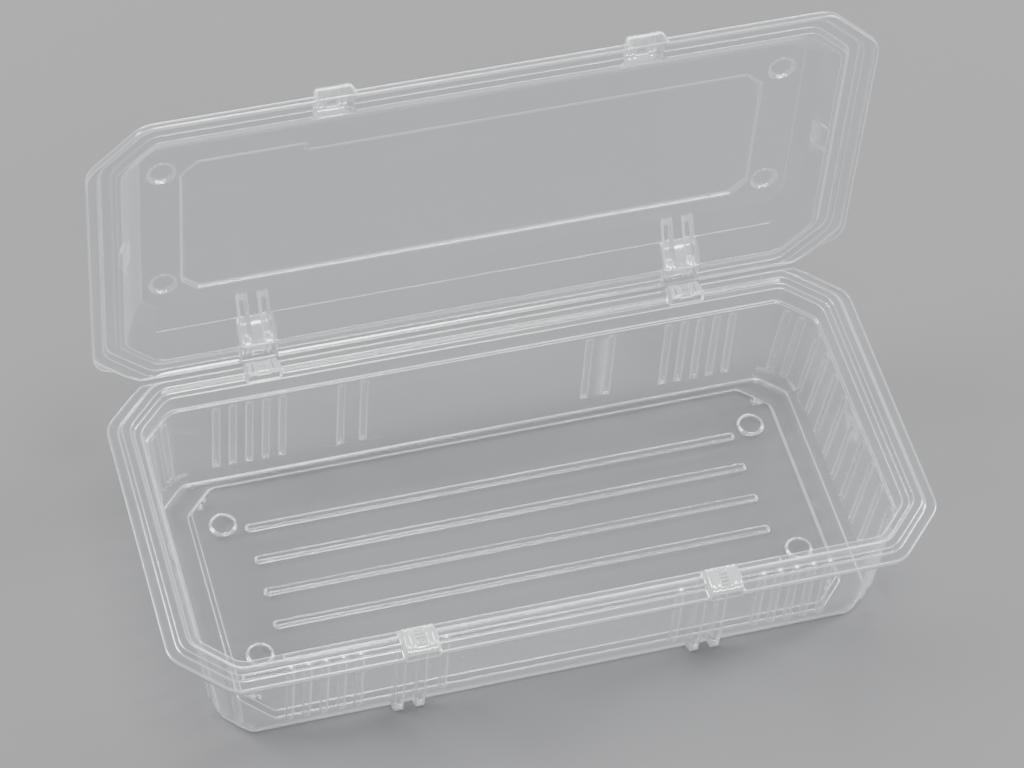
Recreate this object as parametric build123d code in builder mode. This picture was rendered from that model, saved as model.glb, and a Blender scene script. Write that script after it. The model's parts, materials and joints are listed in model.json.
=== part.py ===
from build123d import *
import os
from math import atan2, sin, sqrt

# Clear clamshell pack formed from one plastic sheet: a deep tray and a shallow lid joined
# by two ribbed straps.  X runs along the pack, -Y is the snap side, +Y the hinge side and
# Z is up, with the table at Z = 0.  All sizes are in mm.

# ---- sheet and fits ----
film = 0.4                 # thickness of the formed sheet
nest_gap = 0.35            # clear space between the two rims when the pack is shut
crease_gap = 0.3           # slit left between the two halves of a strap

# ---- overall plan ----
half_length = 117.5        # to the outer edge of the tray flange
half_width = 58.5          # to the outer edge of the tray flange on the snap side
corner_cut = 16.0          # how far each 45 degree corner cuts the plan back
corner_round = 8.0         # rounding where a corner meets a side
back_trim = 2.9            # the rim on the hinge side is narrower by this
rim_height = 42.0          # flange of the tray above the table

# ---- rim ----
lip_drop = 1.8             # down-turned outer edge
lid_lip_back = 8.6         # the lid's lip stops this far short of the crease, so it can swing
bead_out = 3.2             # insets of the two feet of the raised bead
bead_in = 7.8
bead_height = 1.6
bead_run = 1.0             # sideways run of each flank of the bead

# ---- tray wall: insets from the plan at the ends and along the sides ----
top_end, top_side = 9.5, 9.5
ledge_drop = 6.0           # ledge below the flange
ledge_step = 0.8
ledge_end, ledge_side = 11.1, 10.5
bevel_z = 5.0
bevel_end, bevel_side = 14.6, 11.0
foot_end, foot_side = 16.1, 11.8

# ---- tray floor ----
panel_end, panel_side = 24.0, 16.5
panel_rise = 2.0
panel_run = 1.5
panel_cut = 4.0            # the panel's corners are cut back this much more than the wall's
rib_count = 5
rib_pitch = 12.2
rib_clear = 15.0           # the ribs end this far inside the panel
rib_width = 2.6
dimple_end, dimple_side = 32.5, 34.0
dimple_shift = 2.8         # the floor dimples sit this far towards the hinge
dimple_radius = 4.0
dimple_height = 0.8        # the ribs stand as high as the dimples

# ---- wall flutes ----
flute_radius = 1.0
flute_stop = 2.0           # flutes end this far below the ledge
side_flute_count = 5
side_flute_pitch = 5.2
side_flute_end = 45.5      # middle of each group, from the end of the pack
pair_flute_x = 39.5
pair_flute_pitch = 7.2
end_flute_count = 9
end_flute_clear = 4.6      # outer flutes stop this far short of the corner wall
corner_flute_pitch = 5.0

# ---- snap stations, straps and lugs ----
snap_x = 46.0
strap_end = 50.5           # middle of each strap, from the end of the pack
station_width = 12.0
station_rise = 1.4         # top of a snap block above the bead
snap_overhang = 0.8        # a snap block stands proud of the flange by this
block_in = 8.8             # inset of the inner face of a snap block
ridge_radius = 0.6
ridge_pitch = 3.0
leg_pitch = 6.6
leg_width = 2.8
leg_face = 9.4             # inset of the outer face of the legs on the tray
button_radius = 1.6
button_height = 0.7
lug_length = 8.0
lug_depth = 1.6
lug_height = 4.0

# ---- lid ----
dome_rise = 10.0
dome_knee = 6.3
knee_end, knee_side = 13.0, 16.0
dome_end, dome_side = 16.5, 22.5
plate_end = 29.0
plate_front, plate_back = 34.0, 29.0
plate_cut = 5.0
plate_jog = 3.0            # the plate is this much deeper left of the jog
plate_jog_x = -51.0
plate_rise = 0.9
dome_leg_rise = 1.0
lid_lug_in = 4.0
lid_dimple_end, lid_dimple_side = 23.5, 33.5

# ---- hinge ----
hinge_out = 1.0            # crease beyond the narrow rim
open_angle = 90.0          # the lid stands upright

shrink = 2 - sqrt(2)       # how fast a 45 degree cut shortens as the plan is inset
flank = sin(atan2(bead_height, bead_run))
bevel_cut = corner_cut - shrink * (bevel_end + bevel_side) / 2

# Places that follow from the overall sizes.
back_edge = half_width - back_trim
hinge_y = back_edge + hinge_out
hinge_z = rim_height + nest_gap / 2
ledge_z = rim_height - ledge_drop
flute_top = ledge_z - flute_stop
rib_length = 2 * (half_length - panel_end - rib_clear)
dimple_x, dimple_y = half_length - dimple_end, half_width - dimple_side
lid_dimple_x, lid_dimple_y = half_length - lid_dimple_end, half_width - lid_dimple_side
side_flute_x = half_length - side_flute_end
end_flute_reach = half_width - bevel_side - bevel_cut - end_flute_clear
end_flute_pitch = 2 * end_flute_reach / (end_flute_count - 1)
strap_x = half_length - strap_end


def plan_points(inset_end, inset_side, more_cut=0):
    """Corners of the pack's plan, inset at the ends and along the sides."""
    x, y = half_length - inset_end, half_width - inset_side
    cut = corner_cut - shrink * (inset_end + inset_side) / 2 + more_cut
    return [(x, cut - y), (x, y - cut), (x - cut, y), (cut - x, y),
            (-x, y - cut), (-x, cut - y), (cut - x, -y), (x - cut, -y)]


def plan_round(inset_end, inset_side):
    """Corner rounding of the plan, smaller as the plan is inset."""
    return corner_round - 0.25 * (inset_end + inset_side) / 2


def band(low, high, more_cut=0):
    """Solid between two sections, each given as (z, inset_end, inset_side)."""
    with BuildPart() as solid:
        with BuildSketch(Plane.XY.offset(low[0])) as lower:
            with BuildLine():
                Polyline(*plan_points(*low[1:], more_cut), close=True)
            make_face()
            fillet(lower.vertices(), plan_round(*low[1:]))
        with BuildSketch(Plane.XY.offset(high[0])) as upper:
            with BuildLine():
                Polyline(*plan_points(*high[1:], more_cut), close=True)
            make_face()
            fillet(upper.vertices(), plan_round(*high[1:]))
        loft(ruled=True)
    return solid.part


def bead(skin):
    """Ring under the bead surface that lies skin outside the tray's own upper surface."""
    low, high = rim_height + skin - 0.4, rim_height + bead_height + skin
    shift = skin / flank
    spread = (0.4 - skin) * bead_run / bead_height
    rise = bead_run * (high - low) / bead_height
    outer, inner = bead_out - shift - spread, bead_in + shift + spread
    with BuildPart() as ring:
        add(band((low, outer, outer), (high, outer + rise, outer + rise)))
        add(band((low, inner, inner), (high, inner - rise, inner - rise)), mode=Mode.SUBTRACT)
    return ring.part


def wall_solid(skin, over_top):
    """Solid filling the tray wall, inset by skin and carried over_top above the flange."""
    foot = (skin, foot_end + skin, foot_side + skin)
    bevel = (bevel_z, bevel_end + skin, bevel_side + skin)
    under = (ledge_z + skin, ledge_end + skin, ledge_side + skin)
    over = (ledge_z + skin, ledge_end - ledge_step + skin, ledge_side - ledge_step + skin)
    top = (rim_height + over_top, top_end + skin, top_side + skin)
    with BuildPart() as solid:
        add(band(foot, bevel))
        add(band(bevel, under))
        add(band(over, top))
    return solid.part


def flute_planes():
    """Planes standing on the drafted walls, each with the count and pitch of its flutes."""
    tall = ledge_z - bevel_z
    y, x = half_width - bevel_side, half_length - bevel_end
    groups = ((side_flute_x, side_flute_count, side_flute_pitch),
              (pair_flute_x, 2, pair_flute_pitch))
    planes = []
    for s in (-1, 1):
        up_side = (0, s * (bevel_side - ledge_side), tall)
        up_end = (s * (bevel_end - ledge_end), 0, tall)
        for cx, count, pitch in groups:
            for e in (-1, 1):
                plane = Plane(origin=(e * cx, s * y, bevel_z), x_dir=(1, 0, 0), z_dir=up_side)
                planes.append((plane, count, pitch))
        plane = Plane(origin=(s * x, 0, bevel_z), x_dir=(0, 1, 0), z_dir=up_end)
        planes.append((plane, end_flute_count, end_flute_pitch))
    # Two flutes on each corner wall, which leans out a little less than the end walls.
    half_cut = bevel_cut / 2
    lean = (bevel_end + bevel_side - ledge_end - ledge_side) / 2
    for s in (-1, 1):
        for e in (-1, 1):
            plane = Plane(origin=(s * (x - half_cut), e * (y - half_cut), bevel_z),
                          x_dir=(-e, s, 0), z_dir=(s * lean / sqrt(2), e * lean / sqrt(2), tall))
            planes.append((plane, 2, corner_flute_pitch))
    return planes


def flutes(radius, trim):
    """Half-round flutes standing on the walls."""
    with BuildPart() as solids:
        for plane, count, pitch in flute_planes():
            with BuildSketch(plane.offset(trim)):
                with GridLocations(pitch, 0, count, 1):
                    Circle(radius)
            extrude(amount=flute_top - bevel_z - 2 * trim)
    return solids.part


def leg_posts(skin):
    """Legs that run down the snap side of the tray below each snap block."""
    y_out = -(half_width - leg_face) + skin
    y_in = -(half_width - foot_side) + (3 if skin else 0)
    with BuildPart() as solids:
        with BuildSketch(Plane.XY.offset(skin)):
            for x in (-snap_x, snap_x):
                with Locations((x, (y_out + y_in) / 2)):
                    with GridLocations(leg_pitch, 0, 2, 1):
                        Rectangle(leg_width - 2 * skin, y_in - y_out)
        extrude(amount=ledge_z + 2 - 2 * skin)
    return solids.part


def snap_block(grow, skin, low, high):
    """Blocks over the rim at the snap stations, grown by grow and hollowed by skin."""
    y_out = -(half_width + snap_overhang + grow - skin)
    y_in = -(half_width - block_in) + grow - skin
    skirt = snap_overhang + film
    width = station_width + 2 * (grow - skin)
    with BuildPart() as solids:
        with BuildSketch(Plane.XY.offset(low)) as plan:
            with Locations((0, (y_out + y_in) / 2)):
                with GridLocations(2 * snap_x, 0, 2, 1):
                    Rectangle(width, y_in - y_out)
            fillet(plan.vertices(), 1.0)
        extrude(amount=high - low)
        # The front face of each block carries on down over the lip.
        with BuildSketch(Plane.XY.offset(rim_height - lip_drop - skin)):
            with Locations((0, y_out + skirt / 2)):
                with GridLocations(2 * snap_x, 0, 2, 1):
                    Rectangle(width, skirt)
        extrude(amount=low - rim_height + lip_drop + skin + 1.0)
    return solids.part


def ridges(x, y_low, y_high, z, radius):
    """Ridges pressed across a station."""
    with BuildPart() as solids:
        plane = Plane(origin=(x, y_low, z), x_dir=(1, 0, 0), z_dir=(0, 1, 0))
        with BuildSketch(plane):
            with GridLocations(ridge_pitch, 0, 4, 1):
                Circle(radius)
        extrude(amount=y_high - y_low)
    return solids.part


def plate_outline(skin):
    """Outline of the raised plate on the lid, inset by skin."""
    x = half_length - plate_end
    front, back = plate_front - half_width, half_width - plate_back
    c = plate_cut
    with BuildSketch() as outline:
        with BuildLine():
            Polyline((x, front + c), (x, back - c), (x - c, back), (c - x, back), (-x, back - c),
                     (-x, front + c - plate_jog), (c - x, front - plate_jog),
                     (plate_jog_x - 1.5, front - plate_jog), (plate_jog_x + 1.5, front),
                     (x - c, front), close=True)
        make_face()
        if skin:
            offset(amount=-skin, kind=Kind.INTERSECTION, mode=Mode.REPLACE)
    return outline.sketch


def dome_legs(skin):
    """Legs on the hinge side of the dome, following its slope from the rim to the crown."""
    rim = half_width - top_side
    bend = half_width - knee_side
    crest = half_width - dome_side
    rise = dome_leg_rise - skin
    sink = 0.2 if not skin else 1.2
    start = lid_top - (0.1 if not skin else 0.8)
    with BuildPart() as solids:
        with BuildSketch(Plane.YZ) as profile:
            with BuildLine():
                Polyline((rim + rise, start), (rim + rise, lid_top + rise),
                         (bend + rise, lid_top + dome_knee + rise),
                         (crest + rise / 2, lid_top + dome_rise + rise),
                         (crest - rise, lid_top + dome_rise - sink),
                         (crest, lid_top + dome_rise - sink - 0.2),
                         (bend - sink / 2, lid_top + dome_knee - sink),
                         (rim - sink, start), close=True)
            make_face()
        wide = leg_width / 2 - skin
        extrude(amount=wide, both=True)
    with BuildPart() as legs:
        for s in (-1, 1):
            with Locations((s * strap_x, 0, 0)):
                with GridLocations(leg_pitch, 0, 2, 1):
                    add(solids.part)
    return legs.part


# Derived heights and faces shared by both halves.
bead_top = rim_height + bead_height
block_top = bead_top + station_rise
lid_under = rim_height + nest_gap
lid_top = lid_under + film
lid_grow = nest_gap + film
lid_block_top = block_top + ridge_radius + nest_gap + film
block_front = -(half_width + snap_overhang) + 0.6
block_back = -(half_width - block_in) - 0.6
strap_in = back_edge - 0.3
strap_out = hinge_y - crease_gap / 2
strap_mid = (strap_in + strap_out) / 2


def lid_straps():
    """The lid's half of each strap, from its narrow rim to the crease."""
    with BuildPart() as solids:
        with BuildSketch(Plane.YZ.offset(-station_width / 2)):
            with BuildLine():
                Polyline((strap_out, lid_under), (strap_out, lid_top), (back_edge, lid_top + 0.35),
                         (back_edge - 0.15, lid_top + 0.1), (back_edge - 0.15, lid_under + 0.3),
                         close=True)
            make_face()
        extrude(amount=station_width)
    with BuildPart() as straps:
        with GridLocations(2 * strap_x, 0, 2, 1):
            add(solids.part)
    return straps.part


# ---- tray ----
with BuildPart() as under_rim:
    # Hollow below the flange and the bead, outside the wall.
    add(band((rim_height - lip_drop - 1, film, film), (rim_height - film, film, film)))
    add(bead(-film))
    wall_face = (rim_height + 1, top_end, top_side)
    ledge_face = (ledge_z, ledge_end - ledge_step, ledge_side - ledge_step)
    add(band(ledge_face, wall_face), mode=Mode.SUBTRACT)

with BuildPart() as tray:
    # Filled outer shape: wall, flutes, legs, flange and bead.
    add(wall_solid(0, 0))
    add(flutes(flute_radius, 0))
    add(leg_posts(0))
    add(band((rim_height - lip_drop, 0, 0), (rim_height, 0, 0)))
    add(bead(0))
    add(under_rim.part, mode=Mode.SUBTRACT)
    add(snap_block(0, 0, rim_height - film, block_top))
    # Narrow rim on the hinge side.
    with Locations((0, back_edge + 5, rim_height)):
        Box(3 * half_length, 10, 8, mode=Mode.SUBTRACT)
    # Hollow inside of the sheet.
    add(wall_solid(film, 2), mode=Mode.SUBTRACT)
    add(flutes(flute_radius - film, film), mode=Mode.SUBTRACT)
    add(leg_posts(film), mode=Mode.SUBTRACT)
    add(snap_block(0, film, rim_height - 2 * film, block_top - film), mode=Mode.SUBTRACT)
    # Raised floor panel with its ribs and dimples.
    add(band((0, panel_end - panel_run, panel_side - panel_run),
             (panel_rise + film, panel_end, panel_side), panel_cut))
    with BuildSketch(Plane.XY.offset(panel_rise)):
        with GridLocations(0, rib_pitch, 1, rib_count):
            SlotOverall(rib_length, rib_width)
        with Locations((0, dimple_shift)):
            with GridLocations(2 * dimple_x, 2 * dimple_y, 2, 2):
                Circle(dimple_radius)
    extrude(amount=film + dimple_height)
    add(band((-0.1, panel_end - panel_run + film, panel_side - panel_run + film),
             (panel_rise, panel_end + film, panel_side + film), panel_cut),
        mode=Mode.SUBTRACT)
    with BuildSketch(Plane.XY.offset(panel_rise - 0.1)):
        with GridLocations(0, rib_pitch, 1, rib_count):
            SlotOverall(rib_length - 2 * film, rib_width - 2 * film)
        with Locations((0, dimple_shift)):
            with GridLocations(2 * dimple_x, 2 * dimple_y, 2, 2):
                Circle(dimple_radius - film)
    extrude(amount=dimple_height + 0.1, mode=Mode.SUBTRACT)
    # Denesting lugs half way along the short walls.
    with BuildSketch(Plane.XY.offset(ledge_z - lug_height - 2)):
        with GridLocations(2 * (half_length - ledge_end - lug_depth / 2), 0, 2, 1):
            Rectangle(lug_depth, lug_length)
    extrude(amount=lug_height)
    # Ridges over the stations and the tray's half of each strap.
    for s in (-1, 1):
        add(ridges(s * snap_x, block_front, block_back, block_top - 0.1, ridge_radius))
        with BuildSketch(Plane.XY.offset(rim_height - film)):
            with Locations((s * strap_x, strap_mid)):
                Rectangle(station_width, strap_out - strap_in)
        extrude(amount=film)

# ---- lid, drawn shut and then swung open ----
thin = 1.4 * film
knee = (lid_top + dome_knee, knee_end, knee_side)
crown = (lid_top + dome_rise, dome_end, dome_side)
knee_in = (lid_under + dome_knee, knee_end + thin / 2, knee_side + thin / 2)
crown_in = (lid_under + dome_rise, dome_end + thin / 2, dome_side + thin / 2)
dome_foot_in = (lid_under - 0.5, top_end + thin / 2, top_side + thin / 2)
with BuildPart() as lid:
    # Filled outer shape: lip, bead, dome and snap blocks.
    add(band((rim_height - lip_drop, -lid_grow, -lid_grow), (lid_top, -lid_grow, -lid_grow)))
    add(bead(lid_grow))
    add(band((lid_top - 0.1, top_end, top_side), knee))
    add(band(knee, crown))
    add(snap_block(lid_grow, 0, lid_under, lid_block_top))
    with Locations((0, back_edge + 5, rim_height)):
        Box(3 * half_length, 10, 8, mode=Mode.SUBTRACT)
    # Hollow underside.
    add(band((rim_height - lip_drop - 1, -nest_gap, -nest_gap),
             (lid_under, -nest_gap, -nest_gap)), mode=Mode.SUBTRACT)
    add(bead(nest_gap), mode=Mode.SUBTRACT)
    add(band(dome_foot_in, knee_in), mode=Mode.SUBTRACT)
    add(band(knee_in, crown_in), mode=Mode.SUBTRACT)
    add(snap_block(lid_grow, film, lid_under - 0.2, lid_block_top - film), mode=Mode.SUBTRACT)
    # The lip stops short of the hinge.
    with Locations((0, hinge_y - lid_lip_back + 10, lid_under - 5)):
        Box(3 * half_length, 20, 10, mode=Mode.SUBTRACT)
    # Raised plate with its step outline, and the dimples around it.
    with BuildSketch(Plane.XY.offset(lid_top + dome_rise - film)):
        add(plate_outline(0))
        with GridLocations(2 * lid_dimple_x, 2 * lid_dimple_y, 2, 2):
            Circle(dimple_radius)
    extrude(amount=plate_rise + film)
    with BuildSketch(Plane.XY.offset(lid_top + dome_rise - 2 * film)):
        add(plate_outline(film))
        with GridLocations(2 * lid_dimple_x, 2 * lid_dimple_y, 2, 2):
            Circle(dimple_radius - film)
    extrude(amount=plate_rise + film, mode=Mode.SUBTRACT)
    # Legs on the dome below each strap, and lugs half way along the short sides.
    add(dome_legs(0))
    add(dome_legs(film), mode=Mode.SUBTRACT)
    with BuildSketch(Plane.XY.offset(lid_top + 0.6)):
        with GridLocations(2 * (half_length - top_end - lid_lug_in), 0, 2, 1):
            Rectangle(lug_depth + 2, lug_length)
    extrude(amount=lug_height - 0.5)
    # Ridges and buttons over the snap stations, and the lid's half of each strap.
    with BuildSketch(Plane.XY.offset(lid_block_top - 0.2)):
        with Locations((0, (block_front + block_back) / 2)):
            with GridLocations(2 * snap_x, 0, 2, 1):
                Circle(button_radius)
    extrude(amount=button_height + 0.2)
    for s in (-1, 1):
        add(ridges(s * snap_x, block_front - lid_grow, block_back,
                   lid_block_top - 0.1, ridge_radius))
    add(lid_straps())
hinge = Axis((0, hinge_y, hinge_z), (1, 0, 0))
lid_open = lid.part.rotate(hinge, -open_angle)

# ---- both halves moved so that the origin is under the middle of the open pack ----
middle = (tray.part.bounding_box().min.Y + lid_open.bounding_box().max.Y) / 2
centring = Location((0, -middle, 0))
tray_placed = tray.part.moved(centring)
tray_placed.label = "tray"
lid_placed = lid_open.moved(centring)
lid_placed.label = "lid"

os.makedirs("parts", exist_ok=True)
export_step(tray_placed, "parts/tray.step")
export_step(lid_placed, "parts/lid.step")
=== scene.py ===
import json
import math

import bpy
import numpy as np
from mathutils import Matrix, Vector


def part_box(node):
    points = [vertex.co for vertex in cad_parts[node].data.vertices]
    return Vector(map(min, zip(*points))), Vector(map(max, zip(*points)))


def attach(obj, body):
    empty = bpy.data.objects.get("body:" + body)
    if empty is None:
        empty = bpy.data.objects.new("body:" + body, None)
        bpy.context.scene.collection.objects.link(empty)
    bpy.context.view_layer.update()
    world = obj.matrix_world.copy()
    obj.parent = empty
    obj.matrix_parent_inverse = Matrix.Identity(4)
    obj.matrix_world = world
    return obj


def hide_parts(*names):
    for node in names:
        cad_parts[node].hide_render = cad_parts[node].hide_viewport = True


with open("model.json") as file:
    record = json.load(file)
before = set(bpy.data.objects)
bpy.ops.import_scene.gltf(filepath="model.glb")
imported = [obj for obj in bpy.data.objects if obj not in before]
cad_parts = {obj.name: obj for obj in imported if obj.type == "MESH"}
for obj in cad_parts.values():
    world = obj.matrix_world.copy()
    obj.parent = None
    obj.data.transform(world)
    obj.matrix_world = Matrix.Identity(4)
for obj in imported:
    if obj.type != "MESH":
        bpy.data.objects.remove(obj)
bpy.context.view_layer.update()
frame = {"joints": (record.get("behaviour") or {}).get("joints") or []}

HINGE = next(j for j in frame["joints"] if j["name"] == "lid_hinge")

bl_info = {
    "name": "Clear Clamshell Pack",
    "version": (1, 0, 0),
    "blender": (4, 5, 0),
    "location": "View3D > Sidebar > Clamshell",
    "description": "Formed clear plastic pack: deep tray, shallow lid and ribbed hinge straps",
    "category": "Object",
}

MM = 0.001
TURN = math.tan(math.pi / 8)          # arc of a 45 degree corner per unit of its radius

# Places and clearances that both halves share, in mm.
NEST_GAP = 0.35            # clear space between the two rims when the pack is shut
LIP_DROP = 1.8             # down-turned outer edge of a rim
BEAD_OUT, BEAD_IN = 3.2, 7.8    # insets of the two feet of the raised bead
BEAD_RUN = 1.0             # sideways run of each flank of the bead
BEAD_GROW = 0.2            # the lid's bead is wider than the tray's by this on each side
BACK_TRIM = 2.9            # the rim on the hinge side is narrower by this
CREASE_OUT = 1.0           # the crease lies this far beyond the narrow rim
STRAP_OUT = 0.85           # a strap's surface ends this far beyond the narrow rim
BLOCK_OUT, BLOCK_IN = 0.3, 8.8  # faces of a snap block: proud of the flange, and its inset
BLOCK_RISE = 1.4           # top of the tray's snap block above the bead
BLOCK_SPACE = 0.6          # extra room between the tops of the two snap blocks
STATION_EDGE = 0.5         # width over which a station's sides fall
LUG_HALF, LUG_OUT = 4.0, 1.6    # half length and depth of the lugs on the short sides
PANEL_PAINTED_HIGHLIGHT = 0.6          # share of the painted crease highlight kept on the flat panels
WALL_PAINTED_HIGHLIGHT = 0.55           # share of the painted crease highlight kept on the fluted walls
STATION_PAINTED_HIGHLIGHT = 2.2         # the painted crease highlight is stronger by this on the stations

# Flutes of the tray wall, in mm: count, pitch and middle of the groups along a long side.
SIDE_GROUPS = ((5, 5.2, 72.0), (2, 7.2, 39.5))
END_FLUTES, END_PITCH = 9, 8.6
CORNER_FLUTES, CORNER_PITCH = 2, 5.0
FLUTE_RADIUS = 1.15
FLUTE_FINE = 0.33          # spacing of the points across a flute

# Panel of the tray floor, in mm.
RIBS, RIB_PITCH = 5, 12.2
RIB_RUN = 77.2             # middle of the floor to the centre of a rib's rounded end
SPOT_X, SPOT_Y, SPOT_SHIFT = 85.0, 24.5, 2.8
SPOT_RADIUS = 4.0
LID_SPOT_X, LID_SPOT_Y = 94.0, 25.0
PLATE_RISE = 0.9
PLATE_END, PLATE_BACK, PLATE_FRONT = 88.5, 29.0, 34.0
PLATE_CUT = 5.0
PLATE_JOG, PLATE_JOG_X = 3.0, -51.0


# ---------------------------------------------------------------- profiles

def smooth(low, high, value):
    """Smoothstep: 0 below low, 1 above high, 3t^2 - 2t^3 between."""
    t = np.clip((np.asarray(value, float) - low) / (high - low), 0.0, 1.0)
    return t * t * (3.0 - 2.0 * t)


def plateau(distance, half, edge):
    """1 inside half, falling to 0 over edge beyond it."""
    return 1.0 - smooth(half - edge / 2, half + edge / 2, distance)


def eased(points, reach, steps=3):
    """Polyline with every inner corner replaced by a parabola that starts reach before it."""
    points = np.asarray(points, float)
    a, b, c = points[:-2], points[1:-1], points[2:]
    before, after = a - b, c - b
    len_a = np.linalg.norm(before, axis=1, keepdims=True)
    len_c = np.linalg.norm(after, axis=1, keepdims=True)
    start = b + before / len_a * np.minimum(reach, 0.45 * len_a)
    end = b + after / len_c * np.minimum(reach, 0.45 * len_c)
    t = np.linspace(0.0, 1.0, steps + 1)[None, :, None]
    bends = (1 - t) ** 2 * start[:, None] + 2 * t * (1 - t) * b[:, None] + t ** 2 * end[:, None]
    return np.concatenate([points[:1], bends.reshape(-1, points.shape[1]), points[-1:]])


def divided(points, longest):
    """Polyline with extra points so that no run is longer than longest."""
    points = np.asarray(points, float)
    runs = np.linalg.norm(np.diff(points, axis=0), axis=1)
    counts = np.maximum(1, np.ceil(runs / longest).astype(int))
    index = np.repeat(np.arange(len(runs)), counts)
    step = np.arange(len(index)) - np.repeat(np.cumsum(counts) - counts, counts)
    share = (step / counts[index])[:, None]
    inner = points[index] * (1 - share) + points[index + 1] * share
    return np.concatenate([inner, points[-1:]])


def resampled(points, count):
    """Polyline sampled at count even steps of its own length."""
    points = np.asarray(points, float)
    run = np.concatenate([[0.0], np.cumsum(np.linalg.norm(np.diff(points, axis=0), axis=1))])
    at = np.linspace(0.0, run[-1], count)
    return np.stack([np.interp(at, run, points[:, k]) for k in range(points.shape[1])], -1)


def spread(*spans):
    """Sorted positions made of spans (from, to, step), with near doubles removed."""
    parts = [np.linspace(a, b, max(2, int(round((b - a) / step)) + 1)) for a, b, step in spans]
    values = np.unique(np.round(np.concatenate(parts), 3))
    return values[np.concatenate([[True], np.diff(values) > 0.12])]


# ---------------------------------------------------------------- plan of the pack

class Plan:
    """The cut-corner outline as samples of a closed path.

    Each of the four sides holds fixed positions out to its feature limit and three more that
    stretch to the end of the straight; each corner is an arc, a 45 degree cut and an arc."""

    def __init__(self, right, back, left, front, cut_side, arc_steps=6):
        ends = np.array([1 / 3, 2 / 3, 1.0])
        arc = np.linspace(0.0, 1.0, arc_steps + 1)[1:-1]
        cut_limit = np.max(np.abs(cut_side))
        cut_values = np.concatenate([[-cut_limit - 1.0], cut_side, [cut_limit + 1.0]])
        kinds, values, sides, limits = [], [], [], []
        for side, straight in enumerate((right, back, left, front)):
            limit = np.max(np.abs(straight))
            whole = np.concatenate([-limit - ends[::-1], straight, limit + ends])
            for kind, vals in enumerate((whole, arc, cut_values, arc)):
                kinds.append(np.full(len(vals), kind))
                values.append(vals)
                sides.append(np.full(len(vals), side))
                limits.append(np.full(len(vals), cut_limit if kind == 2 else limit))
        self.kind = np.concatenate(kinds)
        self.value = np.concatenate(values)
        self.side = np.concatenate(sides)
        self.limit = np.concatenate(limits)

    def ring(self, half_x, half_y, cut, radius):
        """Points and outward directions of outlines whose four sizes are columns.

        Side 0 faces +X, 1 +Y, 2 -X and 3 -Y.  A straight point is (out, along) in its side's
        axes; arc points are the arc's centre plus its radius turned through the angle; a cut
        point slides along the 45 degree line through the middle of the cut."""
        kind, value, side = self.kind, self.value, self.side
        reach = radius * TURN
        half_along = np.where(side % 2 == 0, half_y, half_x)
        half_out = np.where(side % 2 == 0, half_x, half_y)
        stop = np.where(kind == 2, cut / math.sqrt(2) - reach, half_along - cut - reach)
        inner = np.minimum(self.limit, stop - 0.3)
        size = np.abs(value)
        near = size * inner / self.limit
        placed = np.sign(value) * np.where(size <= self.limit, near,
                                           inner + (size - self.limit) * (stop - inner))
        turn = math.pi / 4
        end = half_along - cut - reach
        first, last = value * turn, turn * (1.0 - value)
        slide = placed / math.sqrt(2)
        along = np.choose(kind, [placed, end + radius * np.sin(first),
                                 half_along - cut / 2 + slide,
                                 half_along - radius * (1 - np.cos(last))])
        out = np.choose(kind, [half_out + 0 * placed, half_out - radius * (1 - np.cos(first)),
                               half_out - cut / 2 - slide,
                               half_out - cut - reach + radius * np.sin(last)])
        angle = side * math.pi / 2 + np.choose(kind, [0 * value, first, 0 * value + turn,
                                                      math.pi / 2 - last])
        c = np.array([1.0, 0.0, -1.0, 0.0])[side]
        s = np.array([0.0, 1.0, 0.0, -1.0])[side]
        x, y = out * c - along * s, out * s + along * c
        return x, y, np.cos(angle) + 0 * x, np.sin(angle) + 0 * x


def strip(first, first_at, second, second_at):
    """Triangles between two closed loops, joined in the order of their places round the path."""
    order = np.argsort(np.concatenate([first_at, second_at]), kind="stable")
    on_first = order < len(first)
    i = np.cumsum(on_first) - 1
    j = np.cumsum(~on_first) - 1
    now = np.where(on_first, first[i % len(first)], second[j % len(second)])
    before_i = first[(i - on_first) % len(first)]
    before_j = second[(j - ~on_first) % len(second)]
    return np.stack([before_i, now, before_j], -1)


def around(x, y):
    """Place of a point round the pack, as an angle from -X in turns."""
    return np.arctan2(y, x) / (2 * math.pi) % 1.0


class Skin:
    """Points and faces of one surface, gathered zone by zone."""

    def __init__(self):
        self.points, self.faces, self.count = [], [], 0
        # edge is the row of the outer lip, which gets the full painted highlight; the other list
        # holds groups of points with a scale for their painted crease highlight.
        self.edge, self.tone = [], []

    def add_points(self, x, y, z):
        """Store a grid of points and return their numbers in the same grid."""
        first = self.count
        self.points.append(np.stack([np.ravel(x), np.ravel(y), np.ravel(z)], -1))
        self.count += np.size(x)
        return first + np.arange(np.size(x)).reshape(np.shape(x))

    def add_grid(self, number, closed):
        """Quads between neighbouring rows; a closed row also joins its end to its start."""
        right = np.roll(number, -1, axis=1)
        quads = np.stack([number[:-1], right[:-1], right[1:], number[1:]], -1)
        self.faces.append((quads if closed else quads[:, :-1]).reshape(-1, 4))

    def add_strip(self, first, first_at, second, second_at):
        """Triangles between two closed loops of stored points, outer loop first."""
        one, two = np.argsort(first_at, kind="stable"), np.argsort(second_at, kind="stable")
        self.faces.append(strip(first[one], first_at[one], second[two], second_at[two]))


# ---------------------------------------------------------------- relief pressed into the sheet

def bumps(place, centres, half, edge):
    """Sum of plateaus: each is 1 within half of its centre and falls to 0 over edge."""
    distance = np.abs(place[..., None] - np.asarray(centres, float))
    return plateau(distance, half, edge).max(axis=-1)


def rounded_ridges(place, centres, radius):
    """Half-round ridges: sqrt(1 - (d / radius)^2) at distance d from the nearest centre."""
    distance = np.abs(place[..., None] - np.asarray(centres, float)).min(axis=-1)
    return np.sqrt(np.clip(1.0 - (distance / radius) ** 2, 0.0, 1.0))


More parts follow.
